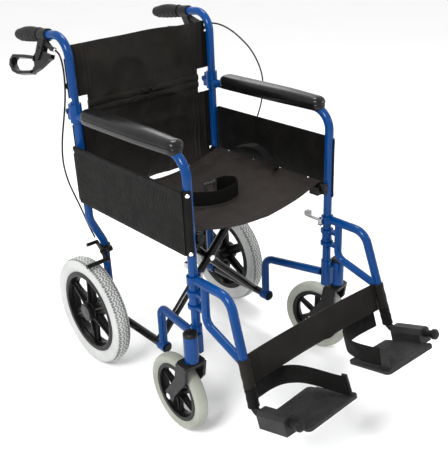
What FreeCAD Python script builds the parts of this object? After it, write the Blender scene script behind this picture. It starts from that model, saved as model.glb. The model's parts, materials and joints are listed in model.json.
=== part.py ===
# Folding transport wheelchair, built as one welded side frame per side, a scissor brace
# between them, and the pieces that hang from or turn on them. Millimetres.
# X runs to the user's left, Y to the rear, Z up. The floor is Z = 0.
import math
import os

import FreeCAD
import Part

V = FreeCAD.Vector
X, Y, Z = V(1, 0, 0), V(0, 1, 0), V(0, 0, 1)
GAP = 0.3  # between pieces that touch softly or pass each other
FIT = 0.05  # radial running clearance

# driving dimensions
TUBE_R = 11.0  # frame tube, outside
TUBE_WALL = 1.5
REAR_WHEEL_R = 157.0
REAR_TYRE_W = 46.0
REAR_WHEEL_X = 248.0
AXLE_Y = 265.0
AXLE_R = 6.0
CASTER_R = 99.8
CASTER_TYRE_W = 33.0
CASTER_TRAIL = 61.6
CASTER_ANGLE = {"right": -2.0, "left": 9.3}  # how the casters stand, degrees about Z
STEM_X, STEM_Y = 257.0, -192.0
POST_X, POST_Y = 227.0, -178.0  # front post
CANE_X, CANE_Y = 224.0, AXLE_Y  # rear cane
REAR_FOOT_X = 187.0  # rear post below its inward bend
ARM_Z = 714.0  # armrest tube
SPLIT_Z = 722.0  # where the back folds from the frame
HINGE_Y = 292.0  # pin that the back folds on
GRIP_TOP_Z = 913.0
LATCH_Z = 786.0  # push knob that frees the back
LOWER_X, LOWER_Z = 188.0, 127.0  # brace tube that turns in the frame's sleeves
RAIL_X, RAIL_Z, RAIL_R = 205.0, 518.0, 10.0
BRACE_Y = 55.0  # bolt of the scissor
BRACE_GAP_Y = 11.6  # each diagonal stands this far in front of or behind the bolt's middle
SEAT_FRONT_Y, SEAT_REAR_Y = -172.0, 222.0
SEAT_TOP_Z, SEAT_SAG, SEAT_FLAT_X = 531.4, 32.0, 190.0  # the cloth hangs between the rails
SEAT_SCREW_Y = (-130.0, -27.0, 75.0, 179.0)
HANGER_X, HANGER_TOP_Z = 227.0, 422.0
CENTRE_Y = -5.45  # middle of the whole chair along Y, which the origin is moved to
TOE_UP = math.radians(18.5)  # footplate and its pivot lean up to the front
PIVOT = V(238.0, -385.5, 171.8)  # where the leg tube meets the footplate's pivot line
ALONG = V(0, -math.cos(TOE_UP), math.sin(TOE_UP))  # pivot line, towards the toes
UPLEG = V(0, math.sin(TOE_UP), math.cos(TOE_UP))  # up the leg tube

parts = {}


def on_plate(x, along, up):
    """A point by its X, its place along the footplate's pivot line, and up the leg."""
    return V(x, PIVOT.y, PIVOT.z) + ALONG * along + UPLEG * up


def cylinder(start, end, radius):
    return Part.makeCylinder(radius, (end - start).Length, start, end - start)


def box(x, y, z):
    """A box from three (low, high) pairs."""
    return Part.makeBox(x[1] - x[0], y[1] - y[0], z[1] - z[0], V(x[0], y[0], z[0]))


def ring(start, end, outer, inner):
    return cylinder(start, end, outer).cut(cylinder(start, end, inner))


def join(shapes):
    whole = shapes[0].multiFuse(shapes[1:]) if len(shapes) > 1 else shapes[0]
    return whole.removeSplitter()


def route(points, radius=None):
    """Straight runs through the points with a tangent arc at each corner.

    With no radius each arc is as large as its shorter run leaves room for."""
    edges, at = [], points[0]
    for before, corner, after in zip(points, points[1:], points[2:]):
        u, v = (corner - before).normalize(), (after - corner).normalize()
        half = u.getAngle(v) / 2
        shorter = min((corner - before).Length, (after - corner).Length)
        r = radius or 0.45 * shorter / math.tan(half)
        inward = (v - u).normalize()
        start, end = corner - u * (r * math.tan(half)), corner + v * (r * math.tan(half))
        middle = corner + inward * (r / math.cos(half) - r)
        if (start - at).Length > 1e-6:
            edges.append(Part.LineSegment(at, start).toShape())
        edges.append(Part.Arc(start, middle, end).toShape())
        at = end
    if (points[-1] - at).Length > 1e-6:
        edges.append(Part.LineSegment(at, points[-1]).toShape())
    return Part.Wire(edges)


def rod(points, bend, radius):
    """A round bar along the points."""
    circle = Part.Wire(Part.Circle(points[0], points[1] - points[0], radius).toShape())
    path = route(points, bend)
    return path.makePipeShell([circle], True, False)


def tube(points, bend, radius=TUBE_R, wall=TUBE_WALL):
    return rod(points, bend, radius).cut(rod(points, bend, radius - wall))


def strip(places, across, width, thick):
    """A band of webbing or cloth: thin upright sections along the places, joined straight.

    across gives the direction of the band's width at every place."""
    sections = []
    for i, p in enumerate(places):
        along = (places[min(i + 1, len(places) - 1)] - places[max(i - 1, 0)]).normalize()
        side = along.cross(across).normalize() * (thick / 2)
        up = across * (width / 2)
        corners = [p - side - up, p + side - up, p + side + up, p - side + up]
        sections.append(Part.makePolygon([*corners, corners[0]]))
    return Part.makeLoft(sections, True, True)


def turned(outline, centre, axis, start):
    """A solid of revolution from (radius, distance along the axis) points."""
    points = [centre + start * r + axis * d for r, d in outline]
    face = Part.Face(Part.makePolygon([*points, points[0]]))
    return face.revolve(centre, axis, 360)


def screw(place, out, head_r=4.5, shank_r=2.0, shank=6.0):
    """A domed screw: its head starts at the place and its shank runs back from it."""
    dome = turned(
        [(0, 0), (head_r, 0), (head_r, 1), (0.6 * head_r, 2.6), (0, 3)],
        place,
        out,
        Z.cross(out).normalize() if abs(out.z) < 0.9 else X,
    )
    return dome.fuse(cylinder(place - out * shank, place, shank_r))


# ---- left side frame; the right one is its mirror image ---------------------------------
def side_frame():
    post_top = V(POST_X, POST_Y, ARM_Z)
    front = tube([V(POST_X, POST_Y, 227), post_top, V(CANE_X, CANE_Y - 15, ARM_Z)], 52)
    foot = V(REAR_FOOT_X, CANE_Y, LOWER_Z + 14)
    rear = tube([V(CANE_X, CANE_Y, SPLIT_Z), V(CANE_X, CANE_Y, 428), V(REAR_FOOT_X, CANE_Y, 348), foot], 60)
    side = tube([V(POST_X - 6, POST_Y + 12, 262), V(LOWER_X, 19, 246), V(LOWER_X, 19, LOWER_Z + 14)], 28)
    post_skin = cylinder(V(POST_X, POST_Y, 200), V(POST_X, POST_Y, 320), TUBE_R)
    collar = ring(V(CANE_X, CANE_Y, 698), V(CANE_X, CANE_Y, SPLIT_Z), 16, TUBE_R - 0.5)
    ears = []
    for x in (CANE_X - 9.5, CANE_X + 5.5):
        ear = box((x, x + 4), (CANE_Y + 13, HINGE_Y), (702, SPLIT_Z + 5))
        ear = ear.fuse(cylinder(V(x, HINGE_Y, SPLIT_Z), V(x + 4, HINGE_Y, SPLIT_Z), 8))
        top = box((x - 1, x + 5), (0, HINGE_Y - 9.4), (SPLIT_Z, 760))
        ears.append(ear.cut(top))
    pin = cylinder(V(CANE_X - 12, HINGE_Y, SPLIT_Z), V(CANE_X + 12, HINGE_Y, SPLIT_Z), 3)
    sleeve = ring(V(POST_X, POST_Y, 227), V(POST_X, POST_Y, 300), 14, TUBE_R - 0.5)
    stem = cylinder(V(STEM_X, STEM_Y, 221), V(STEM_X, STEM_Y, 290), 17.5)
    web = box((POST_X - 4, STEM_X), (STEM_Y - 4, STEM_Y + 18), (232, 282))
    web = web.cut(cylinder(V(POST_X, POST_Y, 200), V(POST_X, POST_Y, 320), TUBE_R - 0.5))
    front_sleeve = cylinder(V(LOWER_X, 5, LOWER_Z), V(LOWER_X, 31, LOWER_Z), 15)
    rear_sleeve = cylinder(V(LOWER_X, 245, LOWER_Z), V(LOWER_X, 285, LOWER_Z), 15)
    whole = join([front, rear, side.cut(post_skin), collar, *ears, pin, sleeve, stem, web, front_sleeve, rear_sleeve])
    # room for the folding part's collar above the armrest tube's end
    above = box((CANE_X - 20, CANE_X + 20), (CANE_Y - 17, CANE_Y + 15), (SPLIT_Z, 760))
    bores = [
        above,
        cylinder(V(STEM_X, STEM_Y, 200), V(STEM_X, STEM_Y, 300), AXLE_R + FIT),
        cylinder(V(LOWER_X, 0, LOWER_Z), V(LOWER_X, 300, LOWER_Z), TUBE_R + FIT),
        cylinder(V(160, AXLE_Y, REAR_WHEEL_R), V(240, AXLE_Y, REAR_WHEEL_R), AXLE_R),
    ]
    for bore in bores:
        whole = whole.cut(bore)
    return whole


def rail_saddle(post, y):
    """A moulded ledge on a post, with a lip inside, that a seat rail rests on."""
    along, near_post = (y - 14, y + 14), (min(y, post[1] - 6), max(y, post[1] + 6))
    ledge_z = (497, RAIL_Z - RAIL_R - 1)
    body = join([
        box((188, 216.5), along, ledge_z),
        box((188, RAIL_X - RAIL_R - 1), along, (497, RAIL_Z + 1)),
        box((205, post[0]), near_post, ledge_z),
    ])
    return body.cut(cylinder(V(*post, 480), V(*post, 530), TUBE_R))


def frame_fittings():
    cap = turned([(0, 0), (17.5, 0), (17.5, 6), (14, 9.5), (0, 11)], V(STEM_X, STEM_Y, 290.2), Z, X)
    return Part.makeCompound([
        rail_saddle((POST_X, POST_Y), POST_Y + 15),
        rail_saddle((CANE_X, CANE_Y), CANE_Y - 28),
        cap,
    ])


GUARD_X = (241.0, 244.5)
GUARD_Z = (485.0, 640.0)
GUARD_LIP_R = 14.5  # lip that runs round the outer front of the post
LIP_OUT = V(math.cos(math.radians(48)), -math.sin(math.radians(48)), 0)  # way its screws face
GUARD_SCREW_Z = {"front": (630.0, 491.0), "rear": (625.0, 491.0)}


def skirt_guard():
    guard = box(GUARD_X, (POST_Y, CANE_Y + 4), GUARD_Z)
    corners = [e for e in guard.Edges if abs(e.tangentAt(0).x) > 0.9 and e.BoundBox.YMin > 0]
    guard = guard.makeFillet(9, corners)
    guard = guard.fuse(box((GUARD_X[1] - 0.1, GUARD_X[1] + 1), (POST_Y, CANE_Y), (626, 637)))
    lip = ring(V(POST_X, POST_Y, GUARD_Z[0]), V(POST_X, POST_Y, GUARD_Z[1]), GUARD_LIP_R, TUBE_R + 0.2)
    keep = box((POST_X + 2, POST_X + 20), (POST_Y - 20, POST_Y + 0.1), GUARD_Z)
    guard = guard.fuse(lip.common(keep))
    for z in GUARD_SCREW_Z["front"]:
        axis = V(POST_X, POST_Y, z)
        guard = guard.cut(cylinder(axis, axis + LIP_OUT * 25, 2.3))
    for z in GUARD_SCREW_Z["rear"]:
        guard = guard.cut(cylinder(V(200, CANE_Y, z), V(260, CANE_Y, z), 2.3))
    return guard


def frame_screws():
    front = [screw(V(POST_X, POST_Y, z) + LIP_OUT * (GUARD_LIP_R + 0.1), LIP_OUT, 5, 2,
                   GUARD_LIP_R + 0.1 - TUBE_R) for z in GUARD_SCREW_Z["front"]]
    face = GUARD_X[1] + 1.1
    rear = [screw(V(face, CANE_Y, z), X, 5, 2, face - CANE_X - TUBE_R) for z in GUARD_SCREW_Z["rear"]]
    return Part.makeCompound(front + rear)


def arm_pad():
    length, wide = (-158.0, 216.0), 29.0
    pad = box((POST_X - 2 - wide, POST_X - 2 + wide), length, (717, 746))
    upright = [e for e in pad.Edges if abs(e.tangentAt(0).z) > 0.9]
    pad = pad.makeFillet(26, upright)
    top = [e for e in pad.Edges if e.BoundBox.ZMin > 745.9]
    pad = pad.makeFillet(10, top)
    return pad.cut(cylinder(V(POST_X, POST_Y, ARM_Z), V(CANE_X, CANE_Y, ARM_Z), TUBE_R + 0.1))


def back_cane():
    cane = tube([V(CANE_X, CANE_Y, SPLIT_Z + 0.2), V(CANE_X, CANE_Y, GRIP_TOP_Z), V(CANE_X, 515, 890)], 52)
    collar = ring(V(CANE_X, CANE_Y, SPLIT_Z + 0.2), V(CANE_X, CANE_Y, 746), 16, TUBE_R - 0.5)
    x = (CANE_X - 5.2, CANE_X + 5.2)
    tongue = box(x, (CANE_Y + 13, HINGE_Y), (SPLIT_Z + 0.2, 740))
    tongue = tongue.fuse(cylinder(V(x[0], HINGE_Y, SPLIT_Z), V(x[1], HINGE_Y, SPLIT_Z), 8))
    tongue = tongue.cut(cylinder(V(200, HINGE_Y, SPLIT_Z), V(240, HINGE_Y, SPLIT_Z), 3 + FIT))
    hole = cylinder(V(CANE_X, CANE_Y, LATCH_Z), V(CANE_X, CANE_Y + 20, LATCH_Z), 3 + FIT)
    return join([cane, collar, tongue]).cut(hole)


def handle_point(y):
    """The handle tube's axis at this Y."""
    slope = (890 - GRIP_TOP_Z) / (515 - CANE_Y)
    return V(CANE_X, y, GRIP_TOP_Z + slope * (y - CANE_Y))


def handgrip():
    start, end = handle_point(396), handle_point(519)
    axis = (end - start).normalize()
    length = (end - start).Length
    outline = [(0, 0), (18, 0), (18, 4), (15, 8)]
    for i in range(5):
        d = 14 + i * 19
        outline += [(15, d), (16.6, d + 7), (15, d + 14)]
    outline += [(16.5, length - 6), (12, length), (0, length)]
    grip = turned(outline, start, axis, X)
    return grip.cut(cylinder(start - axis, handle_point(515.2), TUBE_R + 0.1))


# attendant brake: the clamp hangs down and outwards from the handle tube
BRAKE_OUT = math.radians(22)
DROP = V(math.sin(BRAKE_OUT), 0, -math.cos(BRAKE_OUT))
LEVER_AXIS = V(math.cos(BRAKE_OUT), 0, math.sin(BRAKE_OUT))
LEVER_PIVOT = handle_point(374) + DROP * 35


def brake_plate(outline, low, high):
    """A plate across the lever's axis, from (along the handle, down from the pivot) points."""
    points = [LEVER_PIVOT + Y * a + DROP * d + LEVER_AXIS * low for a, d in outline]
    return Part.Face(Part.makePolygon([*points, points[0]])).extrude(LEVER_AXIS * (high - low))


def brake_pin(half, radius):
    return cylinder(LEVER_PIVOT - LEVER_AXIS * half, LEVER_PIVOT + LEVER_AXIS * half, radius)


def brake_bracket():
    """A clamp on the handle, two cheeks around the lever, and the cable's stop in front."""
    start, end = handle_point(353), handle_point(391)
    cheek = [(-15, -26), (13, -26), (12, 14), (6, 30), (-8, 30), (-14, 10)]
    stop = LEVER_PIVOT - Y * 64 - DROP * 5
    body = join([
        cylinder(start, end, 15.5),
        brake_plate(cheek, -9, -6),
        brake_plate(cheek, 6, 9),
        brake_plate([(-15, -24), (13, -24), (13, -13), (-15, -13)], -8, 8),
        brake_plate([(-14, -24), (-14, -10), (-50, -1), (-50, -9)], -4.5, 4.5),
        cylinder(stop, stop + Y * 18, 5.5),
        brake_pin(10.5, 3),
    ])
    body = body.cut(cylinder(handle_point(340), handle_point(400), TUBE_R + 0.1))
    return body.cut(cylinder(stop - Y, stop + Y * 12, 3.2))


def brake_lever():
    """A closed loop for the fingers, with an arm between the cheeks that pulls the cable."""
    arm = [(-7, -8), (7, -8), (14, 8), (26, 24), (26, 65), (16, 67), (-17, 49), (-50, 24),
           (-62, 18), (-62, 8), (-40, 8), (-10, 4)]
    loop = [(17, 22), (68, 26), (128, 33), (139, 48), (135, 62), (112, 76), (82, 79), (17, 67.5)]
    opening = [(20, 31), (70, 34), (120, 40), (128, 46), (127, 55), (108, 67), (80, 70), (18, 60), (10, 46)]
    lever = join([brake_plate(arm, -5.4, 5.4), brake_plate(loop, -9, 9)])
    return lever.cut(brake_plate(opening, -10, 10)).cut(brake_pin(8, 3 + FIT))


def back_latch():
    """A push knob behind the cane, above the fold, on a pin that slides into the cane."""
    y = 283.5
    knob = cylinder(V(CANE_X, y, LATCH_Z), V(CANE_X, y + 8.5, LATCH_Z), 8.5)
    knob = knob.makeFillet(3, [e for e in knob.Edges if e.BoundBox.YMin > y + 8.4])
    return knob.fuse(cylinder(V(CANE_X, CANE_Y + 5, LATCH_Z), V(CANE_X, y + 1, LATCH_Z), 3))


# ---- scissor brace --------------------------------------------------------------------
def cross_arm(side, y):
    """Lower tube on this side (+1 left, -1 right), diagonal, and the seat rail opposite."""
    low, high = V(side * LOWER_X, y, LOWER_Z), V(-side * RAIL_X, y, RAIL_Z)
    ends = (3.0, 292.0)
    lower = ring(V(low.x, ends[0], LOWER_Z), V(low.x, ends[1], LOWER_Z), TUBE_R, TUBE_R - 2)
    plug = cylinder(V(low.x, ends[0] - 3, LOWER_Z), V(low.x, ends[0], LOWER_Z), TUBE_R - 0.5)
    rail = ring(V(high.x, POST_Y - 6, RAIL_Z), V(high.x, CANE_Y - 13, RAIL_Z), RAIL_R, RAIL_R - 1.5)
    diagonal = cylinder(low, high, TUBE_R).cut(cylinder(low, high, TUBE_R - 1.5))
    diagonal = diagonal.cut(cylinder(V(low.x, -50, LOWER_Z), V(low.x, 350, LOWER_Z), TUBE_R - 1))
    diagonal = diagonal.cut(cylinder(V(high.x, -350, RAIL_Z), V(high.x, 350, RAIL_Z), RAIL_R - 1))
    arm = join([lower, rail, diagonal, plug])
    pivot_z = LOWER_Z + LOWER_X * (RAIL_Z - LOWER_Z) / (LOWER_X + RAIL_X)
    return arm.cut(cylinder(V(0, -50, pivot_z), V(0, 150, pivot_z), 4 + FIT)), pivot_z


def cross_bolt(pivot_z):
    front, back = BRACE_Y - BRACE_GAP_Y - TUBE_R - 0.3, BRACE_Y + BRACE_GAP_Y + TUBE_R + 0.3
    bolt = cylinder(V(0, front, pivot_z), V(0, back, pivot_z), 4)
    heads = [cylinder(V(0, front - 4, pivot_z), V(0, front, pivot_z), 8),
             cylinder(V(0, back, pivot_z), V(0, back + 5, pivot_z), 7)]
    return join([bolt, *heads])


def seat_screws(side):
    return Part.makeCompound([
        screw(V(side * RAIL_X, y, 531.6), Z, 5, 2, 3.5) for y in SEAT_SCREW_Y])


# ---- wheels ---------------------------------------------------------------------------
def tyre(centre, axis, up, radius, inner, width, crown):
    """A tyre with a rounded tread."""
    half = width / 2
    shoulder = radius - crown
    outline = [(inner, -half * 0.7), (shoulder - crown * 0.6, -half), (shoulder, -half * 0.93),
               (radius - crown * 0.25, -half * 0.6), (radius, -half * 0.2), (radius, half * 0.2),
               (radius - crown * 0.25, half * 0.6), (shoulder, half * 0.93),
               (shoulder - crown * 0.6, half), (inner, half * 0.7)]
    return turned(outline, centre, axis, up)


def spoked_wheel(centre, axis, up, rim_out, rim_in, rim_w, hub_r, hub, spokes, spoke_w, web, bore):
    """Rim, hub and flat tapering spokes in one moulding. hub is its (low, high) along the axis."""
    rim = turned([(rim_in, -rim_w / 2), (rim_out - 4, -rim_w / 2), (rim_out - 4, -rim_w / 2 + 3),
                  (rim_out - 9, -rim_w / 2 + 6), (rim_out - 9, rim_w / 2 - 6),
                  (rim_out - 4, rim_w / 2 - 3), (rim_out - 4, rim_w / 2), (rim_in, rim_w / 2),
                  (rim_in, 3), (rim_in - 5, 3), (rim_in - 5, -3), (rim_in, -3)], centre, axis, up)
    pieces = [rim, cylinder(centre + axis * hub[0], centre + axis * hub[1], hub_r)]
    side = axis.cross(up)
    for i in range(spokes):
        a = 2 * math.pi * i / spokes
        out = up * math.cos(a) + side * math.sin(a)
        wide = axis.cross(out)
        base, tip = centre + out * (hub_r - 3), centre + out * (rim_in - 2)
        corners = [base - wide * spoke_w * 0.62, tip - wide * spoke_w * 0.5,
                   tip + wide * spoke_w * 0.5, base + wide * spoke_w * 0.62]
        face = Part.Face(Part.makePolygon([*corners, corners[0]]))
        face.translate(axis * (-web / 2))
        pieces.append(face.extrude(axis * web))
    whole = join(pieces)
    return whole.cut(bore)


def rear_wheel():
    centre = V(REAR_WHEEL_X, AXLE_Y, REAR_WHEEL_R)
    bore = cylinder(V(200, AXLE_Y, REAR_WHEEL_R), V(263, AXLE_Y, REAR_WHEEL_R), AXLE_R + FIT)
    return spoked_wheel(centre, X, Z, 122, 104, 36, 27, (-32, 24), 6, 26, 9, bore)


def rear_axle():
    """The axle bolt, with a nut inside the rear post."""
    rod_x = (REAR_FOOT_X - TUBE_R - 8, 262.5)
    bolt = cylinder(V(rod_x[0], AXLE_Y, REAR_WHEEL_R), V(rod_x[1], AXLE_Y, REAR_WHEEL_R), AXLE_R - 0.01)
    nut = cylinder(V(rod_x[0], AXLE_Y, REAR_WHEEL_R), V(REAR_FOOT_X - TUBE_R, AXLE_Y, REAR_WHEEL_R), 10)
    spacer = cylinder(V(REAR_FOOT_X + TUBE_R, AXLE_Y, REAR_WHEEL_R), V(215.8, AXLE_Y, REAR_WHEEL_R), 9)
    return join([bolt, nut, spacer])


def caster():
    """The left caster at swivel 0, trailing straight back."""
    centre = V(STEM_X, STEM_Y + CASTER_TRAIL, CASTER_R)
    bore = cylinder(centre - X * 40, centre + X * 40, 5 + FIT)
    made = {
        "caster_tyre": tyre(centre, X, Z, CASTER_R, 76, CASTER_TYRE_W, 9),
        "caster_wheel": spoked_wheel(centre, X, Z, 80, 66, 26, 16, (-19.5, 19.5), 6, 13, 8, bore),
    }
    crown = box((STEM_X - 31, STEM_X + 31), (STEM_Y - 17, STEM_Y + 26), (208, 217))
    crown = crown.makeFillet(12, [e for e in crown.Edges if abs(e.tangentAt(0).z) > 0.9])
    stem = cylinder(V(STEM_X, STEM_Y, 212), V(STEM_X, STEM_Y, 286), AXLE_R)
    seat = cylinder(V(STEM_X, STEM_Y, 216), V(STEM_X, STEM_Y, 220.8), 14)
    legs = []
    for x in (STEM_X - 31, STEM_X + 23):
        a, b = (STEM_Y - 15, 214), (STEM_Y + 24, 214)
        outline = [a, (STEM_Y - 8, 170), (centre.y - 22, CASTER_R + 10), (centre.y - 13, CASTER_R - 12),
                   (centre.y + 10, CASTER_R - 13), (centre.y + 16, CASTER_R + 6), (STEM_Y + 34, 165), b]
        points = [V(x, *p) for p in outline]
        legs.append(Part.Face(Part.makePolygon([*points, points[0]])).extrude(X * 8))
    fork = join([crown, stem, seat, *legs]).cut(bore)
    made["caster_fork"] = fork
    bolt = cylinder(centre - X * 31, centre + X * 31, 5)
    heads = [cylinder(centre + X * (s * 31.05), centre + X * (s * 34.9), 8) for s in (-1, 1)]
    made["caster_axle"] = join([cylinder(centre - X * 31.1, centre + X * 31.1, 4.99), *heads])
    return made


# ---- hanger and footplate --------------------------------------------------------------
LEG = (HANGER_TOP_Z - PIVOT.z) / math.cos(TOE_UP)  # leg tube, from the pivot line to its top bend


def leg_point(up):
    """A point on the leg tube's axis, which leans outwards as it goes down."""
    return on_plate(PIVOT.x - (PIVOT.x - HANGER_X) * up / LEG, 0, up)


def hanger():
    top = [V(HANGER_X, POST_Y - 15, HANGER_TOP_Z), leg_point(LEG), leg_point(34)]
    outer = tube(top, 42)
    shaft_y = POST_Y - 39
    join_at = on_plate(234, -4, 118)
    inner = rod([V(HANGER_X, shaft_y, HANGER_TOP_Z), V(HANGER_X, shaft_y, 322), join_at], 26, 10)
    inner = inner.cut(rod(top, 42, TUBE_R - 0.5))
    inner_hole = rod([V(HANGER_X, shaft_y, 404), V(HANGER_X, shaft_y, 322), on_plate(233.8, -15, 120)], 26, 8.5)
    pieces = [outer, inner.cut(inner_hole)]
    for z in (352, 388):
        lug = cylinder(V(POST_X, POST_Y, z - 4), V(POST_X, POST_Y, z + 4), 17)
        web = box((HANGER_X - 8, HANGER_X + 8), (shaft_y, POST_Y), (z - 4, z + 4))
        pieces.append(lug.fuse(web).cut(cylinder(V(HANGER_X, shaft_y, z - 9), V(HANGER_X, shaft_y, z + 9), 9)))
    pieces.append(cylinder(V(POST_X, POST_Y, 410), V(POST_X, POST_Y, 430), 16))
    pieces.append(latch_pin())
    whole = join(pieces)
    return whole.cut(cylinder(V(POST_X, POST_Y, 300), V(POST_X, POST_Y, 480), TUBE_R + FIT))


def hanger_latch():
    """A thumb lever that frees the hanger, on an upright pin beside the post."""
    x, y, z = POST_X - 23.5, POST_Y + 4, 420
    pin = cylinder(V(x, y, z - 6), V(x, y, z + 9), 6)
    arm = box((x - 4, x + 4), (y, y + 50), (z + 2, z + 6))
    tip = box((x - 7, x + 7), (y + 36, y + 50), (z + 5.9, z + 18))
    lug = cylinder(V(x, y, z - 20), V(x, y, z + 20), 2.5 + FIT)
    return join([pin, arm, tip]).cut(lug)


def latch_pin():
    x, y, z = POST_X - 23.5, POST_Y + 4, 420
    return join([
        cylinder(V(x, y, z - 10), V(x, y, z + 12), 2.5),
        box((x - 4, POST_X - 14), (y - 5, y + 5), (z - 10, z - 6.3)),
    ])


def plate_axle():
    """The bent bar that slides in the leg tube and carries the footplate, with its end knob."""
    x = PIVOT.x
    bar = rod([leg_point(95), PIVOT, on_plate(x, 138, 0)], 20, 9)
    knob = turned([(0, 130), (9, 130), (9, 134), (13, 136), (13, 143), (9, 147), (0, 148)],
                  on_plate(x, 0, 0), ALONG, X)
    return join([bar, knob])


def footplate():
    outline = [(206, 12), (72, -2), (52, 138), (222, 146)]
    points = [on_plate(x, a, -24) for x, a in outline]
    plate = Part.Face(Part.makePolygon([*points, points[0]])).extrude(UPLEG * 8)
    corners = [e for e in plate.Edges if abs(e.tangentAt(0).dot(UPLEG)) > 0.99]
    plate = plate.makeFillet(11, corners)
    x = PIVOT.x
    block = [on_plate(x + dx, 24, up) for dx, up in ((-24, -25), (17, -25), (17, 8), (9, 15), (-13, 15), (-24, 4))]
    housing = Part.Face(Part.makePolygon([*block, block[0]])).extrude(ALONG * 88)
    ribs = []
    for i in range(24):
        x_rib = 66 + 6.0 * i
        rib = cylinder(on_plate(x_rib, 8 if x_rib > 80 else 20, -16.4), on_plate(x_rib, 132, -16.4), 0.9)
        ribs.append(rib)
    post = Part.Face(Part.makePolygon([on_plate(*p) for p in (
        (66, 108, -17), (66, 134, -17), (66, 130, 34), (66, 116, 34), (66, 108, -17))])).extrude(X * 4)
    whole = join([plate, housing, post, *ribs])
    return whole.cut(cylinder(on_plate(x, 10, 0), on_plate(x, 129, 0), 9 + FIT))


def heel_loop():
    places = [(222, -26, 33), (190, -32, 32), (150, -38, 30), (112, -34, 26), (86, -8, 21),
              (75, 30, 15), (72.8, 70, 11), (72.8, 104, 9), (72.8, 128, 9)]
    return strip([on_plate(*p) for p in places], UPLEG, 46, 2.2)


# ---- wheel brake ----------------------------------------------------------------------
BRAKE_PIN = V(0, 238.0, 338.0)
SHOE = V(0, 215.0, 322.0)


def brake_mount():
    """A clamp on the rear post with a forward pin for the shoe's arm."""
    clamp = cylinder(V(REAR_FOOT_X, CANE_Y, 322), V(REAR_FOOT_X, CANE_Y, 342), 15)
    tab = box((REAR_FOOT_X - 3, REAR_FOOT_X + 3), (BRAKE_PIN.y, CANE_Y), (328, 342))
    pin = cylinder(V(REAR_FOOT_X - 3, BRAKE_PIN.y, BRAKE_PIN.z), V(219, BRAKE_PIN.y, BRAKE_PIN.z), 4)
    eye = cylinder(V(REAR_FOOT_X - 3, BRAKE_PIN.y, BRAKE_PIN.z), V(REAR_FOOT_X + 3, BRAKE_PIN.y, BRAKE_PIN.z), 8)
    post = rod([V(CANE_X, CANE_Y, 500), V(CANE_X, CANE_Y, 428), V(REAR_FOOT_X, CANE_Y, 348),
                V(REAR_FOOT_X, CANE_Y, 200)], 60, TUBE_R)
    return join([clamp, tab, pin, eye]).cut(post)


def brake_shoe():
    """The arm on the brake's pin, the bar that presses on the tyre, and the cable's anchor."""
    x = (REAR_FOOT_X + 22.5, REAR_FOOT_X + 29)
    at = V(x[0], BRAKE_PIN.y, BRAKE_PIN.z)
    arm = cylinder(at, at + X * 6.5, 9)
    low = [(BRAKE_PIN.y - 3, BRAKE_PIN.z + 8), (BRAKE_PIN.y + 6, BRAKE_PIN.z - 7),
           (SHOE.y + 3, SHOE.z - 6), (SHOE.y - 6, SHOE.z + 2)]
    points = [V(x[0], *p) for p in low]
    web = Part.Face(Part.makePolygon([*points, points[0]])).extrude(X * 6.5)
    bar = cylinder(V(x[0], SHOE.y, SHOE.z), V(278, SHOE.y, SHOE.z), 6)
    horn = [(BRAKE_PIN.y - 5, BRAKE_PIN.z + 6), (BRAKE_PIN.y + 7, BRAKE_PIN.z),
            (BRAKE_PIN.y + 28, BRAKE_PIN.z + 16), (BRAKE_PIN.y + 22, BRAKE_PIN.z + 24)]
    points = [V(x[0], *p) for p in horn]
    lever = Part.Face(Part.makePolygon([*points, points[0]])).extrude(X * 6.5)
    knob = cylinder(V(x[0], BRAKE_PIN.y + 25, BRAKE_PIN.z + 20), V(x[0] + 34, BRAKE_PIN.y + 25, BRAKE_PIN.z + 20), 5)
    hole = cylinder(V(180, BRAKE_PIN.y, BRAKE_PIN.z), V(260, BRAKE_PIN.y, BRAKE_PIN.z), 4 + FIT)
    return join([arm, web, bar, lever, knob]).cut(hole)


# ---- cables, cloth and straps ----------------------------------------------------------
CABLE_R = 2.3
CABLE = {
    "left": [(235.2, 320, 875.1), (235.6, 300, 875.6), (245, 279, 876), (268, 270, 870),
             (312, 276, 848), (356, 283, 817),
             (398, 285, 778), (430, 286, 730), (449, 287, 680), (448, 288, 626), (430, 288, 574),
             (398, 287, 526), (360, 286, 484), (316, 284, 447), (276, 282, 414), (243, 275, 388),
             (214, 267, 370)],
    "right": [(-235.2, 321, 875.1), (-235.2, 299, 874), (-234.5, 283, 856), (-232.5, 282, 812),
              (-241, 287, 757), (-257, 291, 706), (-273, 292, 652), (-280, 291, 596),
              (-272, 289, 542), (-252, 287, 490), (-234, 284, 444), (-225, 280, 405), (-214, 267, 370)],
}


def brake_cable(side):
    return rod([V(*p) for p in CABLE[side]], None, CABLE_R)


def seat_top(x):
    """Height of the seat cloth's upper face."""
    return SEAT_TOP_Z - SEAT_SAG * max(0.0, 1 - (x / SEAT_FLAT_X) ** 2)


def seat_sling():
    """Cloth that is flat over both rails and hangs between them."""
    thick = SEAT_TOP_Z - (RAIL_Z + RAIL_R + 0.4)
    xs = [-217, *range(-190, 191, 10), 217]
    upper = [V(x, SEAT_FRONT_Y, seat_top(x)) for x in xs]
    lower = [p - Z * thick for p in reversed(upper)]
    outline = Part.makePolygon([*upper, *lower, upper[0]])
    seat = Part.Face(outline).extrude(Y * (SEAT_REAR_Y - SEAT_FRONT_Y))
    for side in (-1, 1):
        for y in SEAT_SCREW_Y:
            seat = seat.cut(cylinder(V(side * RAIL_X, y, 500), V(side * RAIL_X, y, 560), 2.3))
        seat = seat.cut(cylinder(V(side * POST_X, POST_Y, 500), V(side * POST_X, POST_Y, 560), TUBE_R + 1))
    return seat


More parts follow.
